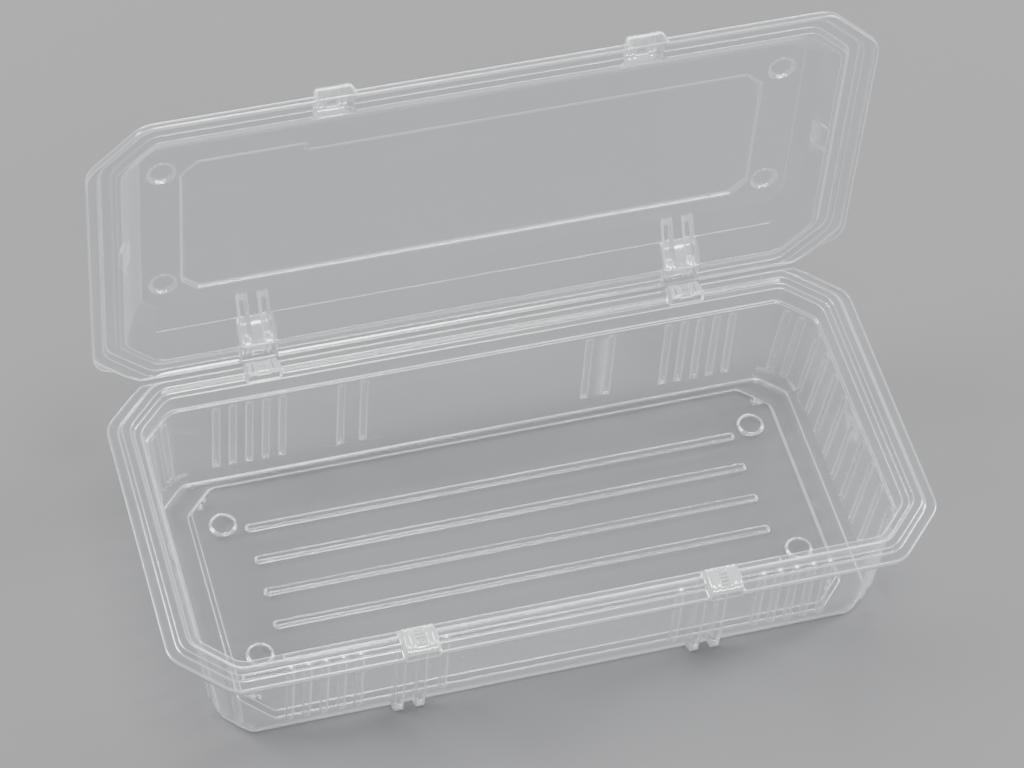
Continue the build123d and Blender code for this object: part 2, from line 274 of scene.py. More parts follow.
def slot_distance(x, y, half_run, row_y):
    """Distance to a row of parallel straight lines that run along X."""
    over = np.maximum(np.abs(x) - half_run, 0.0)[..., None]
    return np.hypot(over, y[..., None] - np.asarray(row_y)).min(axis=-1)


def spot_distance(x, y, spot_x, spot_y):
    """Distance to the nearest of four spots placed evenly about the middle."""
    return np.hypot(np.abs(x) - spot_x, np.abs(y) - spot_y)


def even(count, pitch):
    """Centres of a row of count things at one pitch about 0."""
    return (np.arange(count) - (count - 1) / 2) * pitch


def border(grid):
    """The outer loop of a grid, the way that X turns to Y."""
    return np.concatenate([grid[0], grid[1:-1, -1], grid[-1, ::-1], grid[-2:0:-1, 0]])


def creases(points, faces):
    """How sharply the sheet bends at each point.

    It is the root of one less the length of the mean of the unit normals of the faces that
    meet there, so it grows in step with the angle between them."""
    a = points[faces[:, 2]] - points[faces[:, 0]]
    b = points[faces[:, 3]] - points[faces[:, 1]]
    normal = np.cross(a, b)
    normal /= np.maximum(np.linalg.norm(normal, axis=1, keepdims=True), 1e-9)
    total = np.zeros((len(points), 3))
    meets = np.zeros(len(points))
    for corner in range(4):
        meets += np.bincount(faces[:, corner], minlength=len(points))
        for axis in range(3):
            total[:, axis] += np.bincount(faces[:, corner], normal[:, axis], len(points))
    return np.sqrt(np.clip(1.0 - np.linalg.norm(total, axis=1) / np.maximum(meets, 1), 0.0, 1.0))


def polygon_inside(x, y, planes):
    """Signed distance to a convex outline given as (normal x, normal y, reach) lines."""
    sides = [nx * x + ny * y - reach for nx, ny, reach in planes]
    return np.max(sides, axis=0)


# ---------------------------------------------------------------- the two halves

def outline_sizes(size, inset_end, inset_side, more_cut=0.0):
    """Half length, half width, cut and corner radius of the outline at an inset, as columns."""
    end, side = np.asarray(inset_end)[:, None], np.asarray(inset_side)[:, None]
    mean = (end + side) / 2
    cut = size.corner_cut / MM - (2 - math.sqrt(2)) * mean + np.reshape(more_cut, (-1, 1))
    radius = np.maximum(size.corner_round / MM - 0.25 * mean, 1.0)
    return size.half_length / MM - end, size.half_width / MM - side, cut, radius


def narrow_back(y, back_edge, full_edge):
    """Rim on the hinge side squeezed so that its outer edge stops at the narrow rim's edge."""
    start = back_edge - 0.3
    return np.where(y > start, start + (y - start) * (back_edge - start) / (full_edge - start), y)


def side_flutes():
    """Middles of the flutes along a long side: a group near each end and a pair further in."""
    return np.concatenate([side * middle + even(count, pitch)
                           for count, pitch, middle in SIDE_GROUPS for side in (-1, 1)])


def near_stations(middle, step):
    """Spans of a row that is fine at a pair of stations and coarse between them."""
    return ((-middle - 8, -middle + 8, step), (middle - 8, middle + 8, step), (-86, 86, 6.0))


def leg_centres(size, middle):
    """The four legs of a pair of stations."""
    half = size.leg_pitch / MM / 2
    return [s * middle + e * half for s in (-1, 1) for e in (-1, 1)]


def tray_relief(size, rows, x, y, z, out_x, out_y, side):
    """Flutes, lugs and legs of the tray wall, as shifts along the outward direction.

    A flute is a half-round ridge of the place along its wall, faded at its two ends in z."""
    end, inset = rows[:, 0:1], rows[:, 1:2]
    wall = smooth(5.0, 6.2, z) * (1 - smooth(33.2, 34.0, z))
    half_x, half_y = size.half_length / MM, size.half_width / MM
    along_cut = (np.abs(x) - np.abs(y) - (half_x - end - half_y + inset)) / math.sqrt(2)
    on_cut = np.abs(np.abs(out_x) - np.abs(out_y)) < 0.3
    corners = rounded_ridges(along_cut, even(CORNER_FLUTES, CORNER_PITCH), FLUTE_RADIUS)
    sides = rounded_ridges(x, side_flutes(), FLUTE_RADIUS)
    ends = rounded_ridges(y, even(END_FLUTES, END_PITCH), FLUTE_RADIUS)
    ridge = np.where(on_cut, corners, np.where(side % 2 == 1, sides, ends))
    lug = (side % 2 == 0) * plateau(np.abs(y), LUG_HALF, 1.2)
    lug = lug * smooth(29.6, 30.4, z) * (1 - smooth(33.6, 34.4, z)) * LUG_OUT
    shift = np.maximum(ridge * wall * size.flute_depth / MM, lug)
    x, y = x + shift * out_x, y + shift * out_y
    leg = (side == 3) * bumps(x, leg_centres(size, size.snap_x / MM), size.leg_width / MM / 2,
                              STATION_EDGE)
    # The legs run from under the rim to the foot, with their face this far inside the flange.
    leg = leg * (1 - smooth(37.4, 38.2, z)) * (1 - smooth(12.4, 14.6, inset))
    face = -(half_y - 9.8)
    return x, y + leg * (face - y), z


def arch(rows, outer, top, inner, foot, outer_foot):
    """The path of a snap block over the rim, with as many points as the rim has rows."""
    corners = [(outer, outer_foot), (outer, top), (inner, top), (inner, foot)]
    return resampled(eased(corners, 3.6, 8), rows)


def hinge_arch(rows, strap_end, grow, rim, rise):
    """The path of a strap: flat from the crease, then over the bead and down inside it."""
    top = rim + rise + 0.9
    corners = [(strap_end, rim), (strap_end - 0.95 + grow, rim), (strap_end - 1.35 + grow, top),
               (strap_end - 6.45 - grow, top), (strap_end - 7.05 - grow, rim)]
    return resampled(eased(corners, 1.0, 6), rows)


def ribbing(local, step):
    """Ridges along a station with a ladder between them, 0 to 1.

    local is the place across the station and step runs from 0 to 1 along it: two half-round
    ridges at each side, and in the middle half a wave 1 + cos of step."""
    ladder = plateau(np.abs(local), 1.7, 0.5) * 0.3 * (1 + np.cos(12 * math.pi * step))
    return np.maximum(rounded_ridges(local, (-4.2, -2.6, 2.6, 4.2), 0.75), ladder)


def station(x, y, z, on, middle, path):
    """Rim rows bent over a station, with its ribbing; path is (y, z) by row."""
    rows = slice(0, len(path))
    over = path[:, None, :]
    y[rows] += on[rows] * (over[..., 0] - y[rows])
    z[rows] += on[rows] * (over[..., 1] - z[rows])
    crest = path[:, 1].max()
    flat = smooth(crest - 1.4, crest - 0.3, path[:, 1])[:, None]
    step = np.linspace(0.0, 1.0, len(path))[:, None]
    z[rows] += on[rows] * flat * ribbing(np.abs(x[rows]) - middle, step) * 0.5


def make_tray(size):
    """The tray: rim, ledge, fluted wall, foot and ribbed floor.

    Each zone is the profile (end inset, side inset, height) carried round the cut-corner
    outline; the floor is a grid whose height is a function of its two coordinates."""
    film = size.film / MM
    rim = size.rim_height / MM
    rise = size.bead_height / MM
    half_y = size.half_width / MM
    back_edge = half_y - BACK_TRIM
    snap_x, strap_x = size.snap_x / MM, size.strap_x / MM
    wide = size.station_width / MM / 2
    end = spread((-35.8, 35.8, 5.0), (-5, 5, 0.6))
    rim_plan = Plan(end, spread(*near_stations(strap_x, 0.45)), end,
                    spread(*near_stations(snap_x, 0.42)), np.array([-2.0, 0.0, 2.0]))
    fluted = [(c - 1.5, c + 1.5, FLUTE_FINE) for c in side_flutes()]
    legs = [(c - 1.9, c + 1.9, 0.3) for c in leg_centres(size, snap_x)]
    ends = spread((-35.8, 35.8, 2.0),
                  *[(c - 1.5, c + 1.5, FLUTE_FINE) for c in even(END_FLUTES, END_PITCH)])
    cuts = spread((-3.8, 3.8, FLUTE_FINE))
    wall_plan = Plan(ends, spread((-86, 86, 4.0), *fluted), ends,
                     spread((-86, 86, 4.0), *fluted, *legs), cuts)
    skin = Skin()

    # rim, from the lip over the bead to the ledge
    crest_out, crest_in = BEAD_OUT + BEAD_RUN, BEAD_IN - BEAD_RUN
    profile = [(0, 0, rim - LIP_DROP), (0, 0, rim), (BEAD_OUT, BEAD_OUT, rim),
               (crest_out, crest_out, rim + rise), (crest_in, crest_in, rim + rise),
               (BEAD_IN, BEAD_IN, rim), (9.5 + film, 9.5 + film, rim),
               (10.7, 10.1, 36.4), (11.5, 10.9, 36.1), (11.6, 10.95, 35.2)]
    rows = divided(eased(profile, 0.5, 3), 1.7)
    x, y, nx, ny = rim_plan.ring(*outline_sizes(size, rows[:, 0], rows[:, 1]))
    rim_at = around(x[-1], y[-1])
    z = np.repeat(rows[:, 2:3], x.shape[1], axis=1)
    # The lip fades out where the narrow rim of the hinge side begins.
    lip = (rows[:, 0] < 0.5) & (rows[:, 2] < rim)
    z = np.where(lip[:, None], rim - (rim - z) * (1 - 0.8 * smooth(52.5, 54.5, y)), z)
    y = narrow_back(y, back_edge, half_y)
    x, y, z = tray_relief(size, rows, x, y, z, nx, ny, rim_plan.side)
    last = int(np.argmax(rows[:, 0] > 9.0))
    path = arch(last, -(half_y + BLOCK_OUT), rim + rise + BLOCK_RISE, -(half_y - BLOCK_IN), rim,
                rim - LIP_DROP)
    snaps = (rim_plan.side == 3) * bumps(x, [-snap_x, snap_x], wide, STATION_EDGE)
    station(x, y, z, snaps, snap_x, path)
    path = hinge_arch(last, back_edge + STRAP_OUT, 0.0, rim, rise)
    straps = (rim_plan.side == 1) * bumps(x, [-strap_x, strap_x], wide, STATION_EDGE)
    station(x, y, z, straps, strap_x, path)
    rim_rows = skin.add_points(x, y, z)
    # The painted crease highlight is made stronger on the snap and strap stations.
    skin.tone.append((rim_rows[:last][(snaps + straps)[:last] > 0.5], STATION_PAINTED_HIGHLIGHT))
    skin.edge = rim_rows[0]
    skin.add_grid(rim_rows, True)

    # fluted wall
    heights = np.array([34.7, 34.1, 33.8, 33.4, 33.0, 30.5, 29.8, 29.4, 22.0, 14.0,
                        6.4, 6.0, 5.7, 5.4, 5.0])
    down = (35.2 - heights) / 30.2
    rows = np.stack([11.6 + 3.4 * down, 10.95 + 0.45 * down, heights], -1)
    x, y, nx, ny = wall_plan.ring(*outline_sizes(size, rows[:, 0], rows[:, 1]))
    z = np.repeat(rows[:, 2:3], x.shape[1], axis=1)
    wall_at = around(x[0], y[0])
    wall_rows = skin.add_points(*tray_relief(size, rows, x, y, z, nx, ny, wall_plan.side))
    # The painted crease highlight is kept weaker on the fluted wall.
    skin.tone.append((wall_rows.ravel(), WALL_PAINTED_HIGHLIGHT))
    skin.add_grid(wall_rows, True)
    skin.add_strip(rim_rows[-1], rim_at, wall_rows[0], wall_at)

    # foot
    profile = [(15.1, 11.45, 4.7), (16.5, 12.2, film), (22.9, 15.4, film),
               (24.0, 16.5, 2.0 + film), (25.0, 17.5, 2.0 + film)]
    rows = divided(eased(profile, 0.4, 3), 3.5)
    more = 4.0 * smooth(18.0, 22.4, rows[:, 0])
    x, y, nx, ny = rim_plan.ring(*outline_sizes(size, rows[:, 0], rows[:, 1], more))
    z = np.repeat(rows[:, 2:3], x.shape[1], axis=1)
    foot_at = around(x[0], y[0])
    floor_at = around(x[-1], y[-1])
    foot_rows = skin.add_points(*tray_relief(size, rows, x, y, z, nx, ny, rim_plan.side))
    skin.add_grid(foot_rows, True)
    skin.add_strip(wall_rows[-1], wall_at, foot_rows[0], foot_at)

    # floor panel
    rib_y = even(RIBS, RIB_PITCH)
    across = spread((-37.0, 37.0, 3.0), (-26.4, -17.0, 0.4), (22.6, 32.0, 0.4),
                    *[(c - 1.6, c + 1.6, 0.25) for c in rib_y])
    along = spread((-89.6, 89.6, 4.5), (-89.5, -80.5, 0.4), (80.5, 89.5, 0.4),
                   (-79.2, -76.2, 0.33), (76.2, 79.2, 0.33))
    y, x = np.meshgrid(across, along, indexing="ij")
    rib = 1 - smooth(0.95, 1.3, slot_distance(x, y, RIB_RUN, rib_y))
    spot = spot_distance(x, y - SPOT_SHIFT, SPOT_X, SPOT_Y)
    spot = 1 - smooth(SPOT_RADIUS - 0.3, SPOT_RADIUS, spot)
    z = 2.0 + film + np.maximum(rib, spot) * size.rib_height / MM
    floor = skin.add_points(x, y, z)
    # The painted crease highlight is kept weaker on the floor panel.
    skin.tone.append((floor.ravel(), PANEL_PAINTED_HIGHLIGHT))
    skin.add_grid(floor, False)
    skin.add_strip(foot_rows[-1], floor_at, border(floor), around(border(x), border(y)))
    return skin


def make_lid(size):
    """The lid, drawn shut: rim, sloping dome with legs, crown, and the grid of its plate."""
    rim = size.rim_height / MM + NEST_GAP
    rise = size.bead_height / MM
    half_y = size.half_width / MM
    back_edge = half_y - BACK_TRIM
    snap_x, strap_x = size.snap_x / MM, size.strap_x / MM
    wide = size.station_width / MM / 2
    end = spread((-35.8, 35.8, 5.0), (-5, 5, 0.6))
    plan = Plan(end, spread(*near_stations(strap_x, 0.42)), end,
                spread(*near_stations(snap_x, 0.42)), np.array([-2.0, 0.0, 2.0]))
    skin = Skin()
    dome = size.dome_rise / MM
    foot_out, foot_in = BEAD_OUT - BEAD_GROW, BEAD_IN + BEAD_GROW
    crest_out, crest_in = foot_out + BEAD_RUN, foot_in - BEAD_RUN
    lip_end = rim - LIP_DROP - NEST_GAP
    profile = [(-NEST_GAP, -NEST_GAP, lip_end), (-NEST_GAP, -NEST_GAP, rim),
               (foot_out, foot_out, rim), (crest_out, crest_out, rim + rise),
               (crest_in, crest_in, rim + rise), (foot_in, foot_in, rim), (9.78, 9.78, rim),
               (13.28, 16.28, rim + 0.63 * dome), (16.78, 22.78, rim + dome),
               (18.6, 24.0, rim + dome)]
    rows = divided(eased(profile, 0.5, 3), 1.6)
    x, y, nx, ny = plan.ring(*outline_sizes(size, rows[:, 0], rows[:, 1]))
    crown_at = around(x[-1], y[-1])
    z = np.repeat(rows[:, 2:3], x.shape[1], axis=1)
    lip = (rows[:, 0] < 0.4) & (rows[:, 2] < rim)
    z = np.where(lip[:, None], rim - (rim - z) * (1 - 0.85 * smooth(45.5, 48.5, y)), z)
    y = narrow_back(y, back_edge, half_y + NEST_GAP)
    # legs of the hinge stations, climbing the dome
    leg = (plan.side == 1) * bumps(x, leg_centres(size, strap_x), 1.25, STATION_EDGE)
    climb = smooth(10.2, 11.8, rows[:, 1]) * (1 - smooth(21.8, 23.0, rows[:, 1]))
    y += leg * climb[:, None]
    z += leg * climb[:, None]
    # each station runs on a little way up the dome, with its ribbing
    inset = rows[:, 1:2]
    climb = smooth(9.9, 11.4, inset) * (1 - smooth(14.8, 15.6, inset))
    blocks = 0.0
    for side, middle in ((1, strap_x), (3, snap_x)):
        block = (plan.side == side) * bumps(x, [-middle, middle], wide + 0.2, STATION_EDGE) * climb
        lift = block * (0.5 + 0.7 * ribbing(np.abs(x) - middle, (inset - 9.0) / 12.0))
        y += lift * 0.4 * (1 if side == 1 else -1)
        z += lift
        blocks = blocks + block
    # lugs half way along the short sides
    lug = (plan.side % 2 == 0) * plateau(np.abs(y), LUG_HALF, 0.8)
    lug = lug * smooth(9.8, 10.3, rows[:, 0:1]) * (1 - smooth(rim + 4.0, rim + 4.7, z)) * LUG_OUT
    x, y = x + lug * nx, y + lug * ny
    last = int(np.argmax(rows[:, 0] > 9.0))
    path = arch(last, -(half_y + BLOCK_OUT + NEST_GAP), rim + rise + BLOCK_RISE + BLOCK_SPACE,
                -(half_y - BLOCK_IN - NEST_GAP), rim, lip_end)
    snaps = (plan.side == 3) * bumps(x, [-snap_x, snap_x], wide + NEST_GAP, STATION_EDGE)
    station(x, y, z, snaps, snap_x, path)
    straps = (plan.side == 1) * bumps(x, [-strap_x, strap_x], wide + NEST_GAP, STATION_EDGE)
    station(x, y, z, straps, strap_x,
            hinge_arch(last, back_edge + STRAP_OUT, NEST_GAP, rim, rise))
    blocks[:last] += (snaps + straps)[:last]
    middle = (path[:, 0].max() + path[:, 0].min()) / 2
    reach = np.hypot(np.abs(x[:last]) - snap_x, y[:last] - middle)
    z[:last] += (1 - smooth(1.0, 1.7, reach)) * 1.0 * (z[:last] > rim + rise + 1.0)
    rim_rows = skin.add_points(x, y, z)
    # The painted crease highlight is made stronger on the stations and where they climb the dome.
    skin.tone.append((rim_rows[blocks > 0.5], STATION_PAINTED_HIGHLIGHT))
    skin.edge = rim_rows[0]
    skin.add_grid(rim_rows, True)

    # crown and its raised plate
    across = spread((-31.2, 31.2, 4.0), (-29.6, -19.6, 0.5), (20.4, 30.7, 0.5))
    along = spread((-98.2, 98.2, 5.0), (-98.2, -82.0, 0.5), (82.0, 98.2, 0.5), (-54, -48, 0.45))
    y, x = np.meshgrid(across, along, indexing="ij")
    back, front = half_y - PLATE_BACK, half_y - PLATE_FRONT
    deeper = front + PLATE_JOG
    slant = math.sqrt(0.5)
    back_cut = (PLATE_END + back - PLATE_CUT) * slant
    front_cut = (PLATE_END + front - PLATE_CUT) * slant
    deep_cut = (PLATE_END + deeper - PLATE_CUT) * slant
    jog_cut = (deeper + PLATE_JOG_X - 0.5) * slant
    main = polygon_inside(x, y, [(1, 0, PLATE_END), (-1, 0, PLATE_END), (0, 1, back),
                                 (0, -1, front), (slant, slant, back_cut),
                                 (-slant, slant, back_cut), (slant, -slant, front_cut)])
    deep = polygon_inside(x, y, [(1, 0, PLATE_JOG_X), (-1, 0, PLATE_END), (0, 1, 0.0),
                                 (0, -1, deeper), (-slant, -slant, deep_cut),
                                 (slant, -slant, jog_cut)])
    cut = -slant * x - slant * y - deep_cut
    plate = 1 - smooth(-0.55, 0.15, np.maximum(np.minimum(main, deep), cut))
    spot = spot_distance(x, y, LID_SPOT_X, LID_SPOT_Y)
    spot = 1 - smooth(SPOT_RADIUS - 0.45, SPOT_RADIUS, spot)
    z = rim + dome + np.maximum(plate, spot) * PLATE_RISE
    crown = skin.add_points(x, y, z)
    # The painted crease highlight is kept weaker on the crown.
    skin.tone.append((crown.ravel(), PANEL_PAINTED_HIGHLIGHT))
    skin.add_grid(crown, False)
    skin.add_strip(rim_rows[-1], crown_at, border(crown), around(border(x), border(y)))
    return skin


# ---------------------------------------------------------------- meshes

def opened(points, hinge_y, hinge_z, degrees):
    """Points turned about the hinge line, which runs along X, from shut by an angle."""
    angle = math.radians(-degrees)
    y, z = points[:, 1] - hinge_y, points[:, 2] - hinge_z
    c, s = math.cos(angle), math.sin(angle)
    return np.stack([points[:, 0], hinge_y + c * y - s * z, hinge_z + s * y + c * z], -1)


def film_object(name, skin, size, outward, place):
    """A formed film from its skin: place moves the points, then Solidify gives the thickness."""
    flat = np.concatenate(skin.points)
    padded = np.concatenate([f if f.shape[1] == 4 else f[:, [0, 1, 2, 2]] for f in skin.faces])
    # Painted highlight along the bends: a pale, glossier mark that grows with the crease measure,
    # is full along the outer lip and is scaled zone by zone; it stands in for lamp glints on the
    # curved bends.
    bend = np.clip(creases(flat, padded) * 6.0 - 0.22, 0.0, 1.0)
    bend[skin.edge] = 1.0
    for points_at, share in skin.tone:
        bend[points_at] = np.minimum(bend[points_at] * share, 1.0)
    points = place(flat) * MM
    mesh = bpy.data.meshes.new(name)
    mesh.from_pydata(points, [], [row for block in skin.faces for row in block.tolist()])
    mesh.attributes.new("bend", "FLOAT", "POINT").data.foreach_set("value", bend)
    mesh.polygons.foreach_set("use_smooth", np.ones(len(mesh.polygons), bool))
    mesh.update()
    piece = bpy.data.objects.new(name, mesh)
    bpy.context.scene.collection.objects.link(piece)
    wall = piece.modifiers.new("Film thickness", "SOLIDIFY")
    wall.thickness = size.film
    wall.offset = 1.0 if outward else -1.0
    return piece


# ---------------------------------------------------------------- shader arithmetic

class Wire:
    """A shader value that Python arithmetic turns into Math nodes."""

    def __init__(self, graph, socket):
        self.graph, self.socket = graph, socket

    def math(self, kind, *others, swap=False):
        values = [self, *others]
        return self.graph.node("ShaderNodeMath", {"operation": kind},
                               *(values[::-1] if swap else values)).out(0)

    def __add__(self, other):
        return self.math("ADD", other)

    def __radd__(self, other):
        return self.math("ADD", other, swap=True)

    def __sub__(self, other):
        return self.math("SUBTRACT", other)

    def __rsub__(self, other):
        return self.math("SUBTRACT", other, swap=True)

    def __mul__(self, other):
        return self.math("MULTIPLY", other)

    def __rmul__(self, other):
        return self.math("MULTIPLY", other, swap=True)

    def __truediv__(self, other):
        return self.math("DIVIDE", other)

    def __rtruediv__(self, other):
        return self.math("DIVIDE", other, swap=True)

    def __pow__(self, other):
        return self.math("POWER", other)

    def __abs__(self):
        return self.math("ABSOLUTE")

    def clipped(self, low=0.0, high=1.0):
        return self.math("MAXIMUM", low).math("MINIMUM", high)

    def band(self, low, high):
        """0 below low, 1 above high, smooth between."""
        return self.graph.node("ShaderNodeMapRange", {"interpolation_type": "SMOOTHSTEP"},
                               Value=self, **{"From Min": low, "From Max": high}).out("Result")


class Made:
    """A node just made, whose outputs are taken by name or number."""

    def __init__(self, graph, node):
        self.graph, self.node = graph, node

    def out(self, key=0):
        return Wire(self.graph, self.node.outputs[key])


class Graph:
    """The node tree of one material."""

    def __init__(self, tree):
        self.tree = tree
        tree.nodes.clear()

    def node(self, kind, settings=None, *inputs, **named):
        """A node of a kind: its settings first, then its inputs by order and by name.

        None leaves an input as it is."""
        made = self.tree.nodes.new(kind)
        for key, value in (settings or {}).items():
            setattr(made, key, value)
        for key, value in [*enumerate(inputs), *named.items()]:
            if value is None:
                continue
            socket = made.inputs[key]
            if isinstance(value, Made):
                value = value.out(0)
            if isinstance(value, Wire):
                self.tree.links.new(value.socket, socket)
            else:
                socket.default_value = value
        return Made(self, made)

    def mix_colour(self, share, first, second):
        """The colour that lies share of the way from first to second."""
        unused = [None] * 5
        return self.node("ShaderNodeMix", {"data_type": "RGBA"}, share, *unused,
                         (*first, 1.0), (*second, 1.0)).out(2)

    def noise(self, place, scale, detail=2.0, rough=0.5):
        """Noise from 0 to 1 at a place."""
        return self.node("ShaderNodeTexNoise", {}, Vector=place, Scale=scale, Detail=detail,
                         Roughness=rough).out("Fac")


def clear_film(look):
    """Thin clear plastic: it lets the view through face on, mirrors at a slant by Schlick's rule
    (base + (1 - base) times facing to the fifth), and has a painted highlight, pale and glossier,
    along its creases."""
    material = bpy.data.materials.new("clear_film")
    material.use_nodes = True
    graph = Graph(material.node_tree)
    place = graph.node("ShaderNodeTexCoord").out("Object")
    ripple = graph.noise(place, 34.0, 0.0)
    fine = graph.noise(place, 260.0, 1.0)
    drawn = graph.node("ShaderNodeMapping", {"vector_type": "POINT"}, Vector=place,
                       Scale=(35.0, 420.0, 420.0)).out()
    streak = graph.noise(drawn, 1.0, 0.0)
    hair_place = graph.node("ShaderNodeMapping", {"vector_type": "POINT"}, Vector=place,
                            Rotation=(0.3, 0.2, 0.7), Scale=(22.0, 900.0, 900.0)).out()
    hair = 1.0 - abs(graph.noise(hair_place, 1.0, 0.0) - 0.62).band(0.0, 0.006)
    scuffed = graph.noise(place, 24.0, 1.0).band(0.52, 0.68)
    scuff = hair * scuffed
    height = ripple + streak * 0.16
    normal = graph.node("ShaderNodeBump", {}, Strength=look.waviness, Distance=0.0009,
                        Height=height).out()
    bend = graph.node("ShaderNodeAttribute", {"attribute_name": "bend"}).out("Fac")
    facing = graph.node("ShaderNodeLayerWeight", {}, Blend=0.5, Normal=normal).out("Facing")
    mirror = look.mirror + (1.0 - look.mirror) * facing ** 5.0
    # Mix share: real mirroring by Schlick's rule, plus a painted highlight along creases from the
    # crease mask, plus scuff wear and the slant body.
    share = (mirror + bend.band(0.0, 0.9) * look.crease_gloss + scuff * 0.05
             + facing ** 3.0 * look.edge_tint).clipped(0.0, 0.96)
    rough = 0.05 + scuff * 0.25 + fine * 0.05 + bend * 0.06
    # Paler colour where scuffed, which is wear, and along creases, which is painted highlight.
    tint = graph.mix_colour(scuffed * 0.5 + bend * 0.5, look.film_colour, (0.97, 0.98, 0.99))
    gloss = graph.node("ShaderNodeBsdfPrincipled", {}, tint, Metallic=0.35, IOR=1.57,
                       Roughness=rough, Normal=normal)
    through = graph.node("ShaderNodeBsdfTransparent", {}, Color=(0.982, 0.986, 0.988, 1.0))
    mixed = graph.node("ShaderNodeMixShader", {}, share, through, gloss)
    graph.node("ShaderNodeOutputMaterial", {}, Surface=mixed)
    return material


def matt_floor(look):
    """Pale matt floor with a faint mottle."""
    material = bpy.data.materials.new("studio_floor")
    material.use_nodes = True
    graph = Graph(material.node_tree)
    place = graph.node("ShaderNodeTexCoord").out("Object")
    mottle = graph.noise(place, 9.0, 3.0)
    tint = graph.mix_colour(mottle, [c * 0.97 for c in look.floor_colour],
                            [min(c * 1.03, 1.0) for c in look.floor_colour])
    matt = graph.node("ShaderNodeBsdfPrincipled", {}, tint, Roughness=0.75)
    graph.node("ShaderNodeOutputMaterial", {}, Surface=matt)
    return material


# ---------------------------------------------------------------- settings

def length(name, description, default, low=0.0, high=1.0):
    """A size in metres shown as a length."""
    return bpy.props.FloatProperty(name=name, description=description, default=default,
                                   min=low, max=high, unit="LENGTH", precision=5)


def share_of_one(name, description, default):
    """A plain factor from 0 to 1."""
    return bpy.props.FloatProperty(name=name, description=description, default=default,
                                   min=0.0, max=1.0, subtype="FACTOR")


def colour(name, description, default):
    """A linear colour."""
    return bpy.props.FloatVectorProperty(name=name, description=description, default=default,
                                         min=0.0, max=1.0, subtype="COLOR")


class ClamshellSizes(bpy.types.PropertyGroup):
    """Sizes of the pack."""
    film: length("Film", "Thickness of the formed sheet", 0.0004)
    half_length: length("Half length", "Middle of the tray to the edge of its flange, along X",
                        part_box("tray")[1].x)
    half_width: length("Half width", "Middle of the tray to the edge of its flange, along Y",
                       0.0585)
    corner_cut: length("Corner cut", "How far each corner is cut back", 0.016)
    corner_round: length("Corner rounding", "Radius between a cut and a side", 0.008)
    rim_height: length("Rim height", "Flange of the tray above the table", 0.042)
    bead_height: length("Bead height", "Rise of the raised bead on both rims", 0.0016)
    flute_depth: length("Flute depth", "How far the wall flutes stand out", 0.001)
    rib_height: length("Rib height", "Rise of the floor ribs and dimples", 0.0008)
    snap_x: length("Snap place", "Middle of the pack to each snap station", 0.046)
    strap_x: length("Strap place", "Middle of the pack to each hinge strap", 0.067)
    station_width: length("Station width", "Width of the snap stations and straps", 0.0104)
    leg_pitch: length("Leg pitch", "Spacing of the two legs of a station", 0.0066)
    leg_width: length("Leg width", "Width of a leg", 0.0028)
    dome_rise: length("Dome rise", "Crown of the lid above its flange", 0.010)
    lid_angle: bpy.props.FloatProperty(name="Lid angle", description="Lid turned back from shut",
                                       default=math.radians(90.0), subtype="ANGLE")


class ClamshellLooks(bpy.types.PropertyGroup):
    """Colours and finish."""
    film_colour: colour("Film colour", "Body colour seen at a slant", (0.86, 0.88, 0.90))
    floor_colour: colour("Floor colour", "Pale studio floor", (0.20, 0.20, 0.205))
    mirror: share_of_one("Mirror", "Light mirrored by a face seen straight on", 0.05)
    # Strength of the painted highlight along bends.
    crease_gloss: share_of_one("Crease gloss", "Extra gloss along bends", 0.62)
    edge_tint: share_of_one("Edge tint", "Extra body where the film is seen at a slant", 0.16)
    waviness: share_of_one("Waviness", "Unevenness left by forming", 0.14)


def finish_film(piece, node, body):
    """Material, frame body and CAD node of one film."""
    material = bpy.data.materials.get("clear_film")
    if material is None:
        material = clear_film(bpy.context.scene.clamshell_looks)
    piece.data.materials.append(material)
    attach(piece, body)
    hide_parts(node)


def shift():
    """Frame place of the middle of the tray, from the hinge line, in mm."""
    half_y = bpy.context.scene.clamshell_sizes.half_width / MM
    return HINGE["pos_m"][1] / MM - (half_y - BACK_TRIM + CREASE_OUT)


class CLAMSHELL_OT_tray(bpy.types.Operator):
    """Make the deep tray"""
    bl_idname = "clamshell.tray"
    bl_label = "Make Tray"

    def execute(self, context):
        size = context.scene.clamshell_sizes
        move = np.array([0.0, shift(), 0.0])
        piece = film_object("tray_film", make_tray(size), size, False, lambda p: p + move)
        finish_film(piece, "tray", "tray")
        return {"FINISHED"}


class CLAMSHELL_OT_lid(bpy.types.Operator):
    """Make the shallow lid and open it"""
    bl_idname = "clamshell.lid"
    bl_label = "Make Lid"

    def execute(self, context):
        size = context.scene.clamshell_sizes
        move = np.array([0.0, shift(), 0.0])
        line = HINGE["pos_m"]
        angle = math.degrees(size.lid_angle)
        piece = film_object("lid_film", make_lid(size), size, True,
                            lambda p: opened(p + move, line[1] / MM, line[2] / MM, angle))
        finish_film(piece, "lid", "lid")
        return {"FINISHED"}


def softbox(name, place, aim, width, height, watts):
    """A rectangular lamp at a place, turned to face a point."""
    lamp = bpy.data.lights.new(name, "AREA")
    lamp.shape = "RECTANGLE"
    lamp.size, lamp.size_y, lamp.energy = width, height, watts
    holder = bpy.data.objects.new(name, lamp)
    holder.location = place
    holder.rotation_euler = (Vector(aim) - Vector(place)).to_track_quat("-Z", "Y").to_euler()
    bpy.context.scene.collection.objects.link(holder)


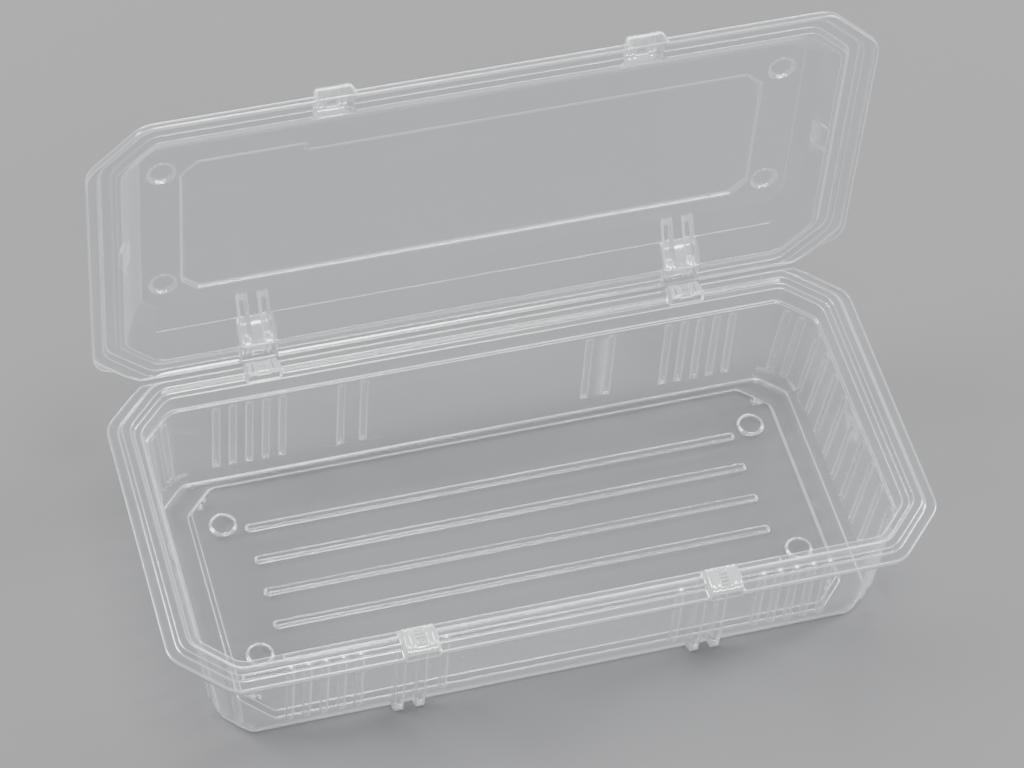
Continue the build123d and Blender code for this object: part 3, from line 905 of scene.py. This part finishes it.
class CLAMSHELL_OT_stage(bpy.types.Operator):
    """Add the camera, the pale floor and the soft lamps"""
    bl_idname = "clamshell.stage"
    bl_label = "Make Stage"

    def execute(self, context):
        scene = context.scene
        # camera: a long lens looking down from the front left, slightly rolled
        turn, rise, roll = math.radians(-20.02), math.radians(52.0), math.radians(5.53)
        back = Vector((math.sin(turn) * math.cos(rise), -math.cos(turn) * math.cos(rise),
                       math.sin(rise)))
        right = Vector((math.cos(turn), math.sin(turn), 0.0))
        up = back.cross(right)
        right2 = math.cos(roll) * right + math.sin(roll) * up
        up2 = -math.sin(roll) * right + math.cos(roll) * up
        target = Vector((5.53, 30.9 + shift(), 42.0)) * MM
        lens = bpy.data.cameras.new("camera")
        lens.sensor_width = 36.0
        lens.lens = 139.0
        lens.clip_start = 0.01
        holder = bpy.data.objects.new("camera", lens)
        turned = Matrix((right2, up2, back)).transposed().to_4x4()
        holder.matrix_world = Matrix.Translation(target + back * 1.199) @ turned
        scene.collection.objects.link(holder)
        scene.camera = holder

        size = 3.0
        u, v = np.meshgrid(np.linspace(-size, size, 9), np.linspace(-size, size, 9))
        mesh = bpy.data.meshes.new("floor")
        ground = Skin()
        ground.add_grid(ground.add_points(u, v, 0 * u), False)
        mesh.from_pydata(ground.points[0], [], ground.faces[0].tolist())
        floor = bpy.data.objects.new("floor", mesh)
        floor.data.materials.append(matt_floor(scene.clamshell_looks))
        scene.collection.objects.link(floor)

        softbox("key_softbox", (-0.85, 0.40, 0.85), (0.0, 0.0, 0.05), 0.55, 0.45, 16.0)
        softbox("side_strip", (0.95, 0.15, 0.60), (0.0, 0.0, 0.05), 0.25, 0.90, 12.0)
        softbox("front_strip", (0.25, -1.00, 0.45), (0.0, 0.0, 0.05), 1.20, 0.18, 11.0)
        softbox("back_strip", (0.10, 1.05, 0.40), (0.0, 0.0, 0.05), 1.20, 0.20, 12.0)
        softbox("top_softbox", (0.10, -0.15, 1.30), (0.0, 0.0, 0.0), 0.35, 0.35, 9.0)
        world = bpy.data.worlds.new("studio")
        world.use_nodes = True
        world.node_tree.nodes["Background"].inputs["Color"].default_value = (0.9, 0.95, 1.0, 1.0)
        world.node_tree.nodes["Background"].inputs["Strength"].default_value = 0.10
        scene.world = world
        scene.cycles.transparent_max_bounces = 40
        scene.cycles.max_bounces = 5
        return {"FINISHED"}


class CLAMSHELL_PT_panel(bpy.types.Panel):
    """Panel that lists the steps and the settings"""
    bl_label = "Clamshell Pack"
    bl_space_type = "VIEW_3D"
    bl_region_type = "UI"
    bl_category = "Clamshell"

    def draw(self, context):
        for step in STEPS:
            self.layout.operator(step.bl_idname)
        for group in (context.scene.clamshell_sizes, context.scene.clamshell_looks):
            for key in group.__annotations__:
                self.layout.prop(group, key)


STEPS = (CLAMSHELL_OT_stage, CLAMSHELL_OT_tray, CLAMSHELL_OT_lid)
CLASSES = (ClamshellSizes, ClamshellLooks, *STEPS, CLAMSHELL_PT_panel)


def register():
    for made in CLASSES:
        bpy.utils.register_class(made)
    bpy.types.Scene.clamshell_sizes = bpy.props.PointerProperty(type=ClamshellSizes)
    bpy.types.Scene.clamshell_looks = bpy.props.PointerProperty(type=ClamshellLooks)


def unregister():
    del bpy.types.Scene.clamshell_looks
    del bpy.types.Scene.clamshell_sizes
    for made in reversed(CLASSES):
        bpy.utils.unregister_class(made)


def main():
    register()
    for step in ("stage", "tray", "lid"):
        getattr(bpy.ops.clamshell, step)()
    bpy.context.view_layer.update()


if __name__ == "__main__":
    main()
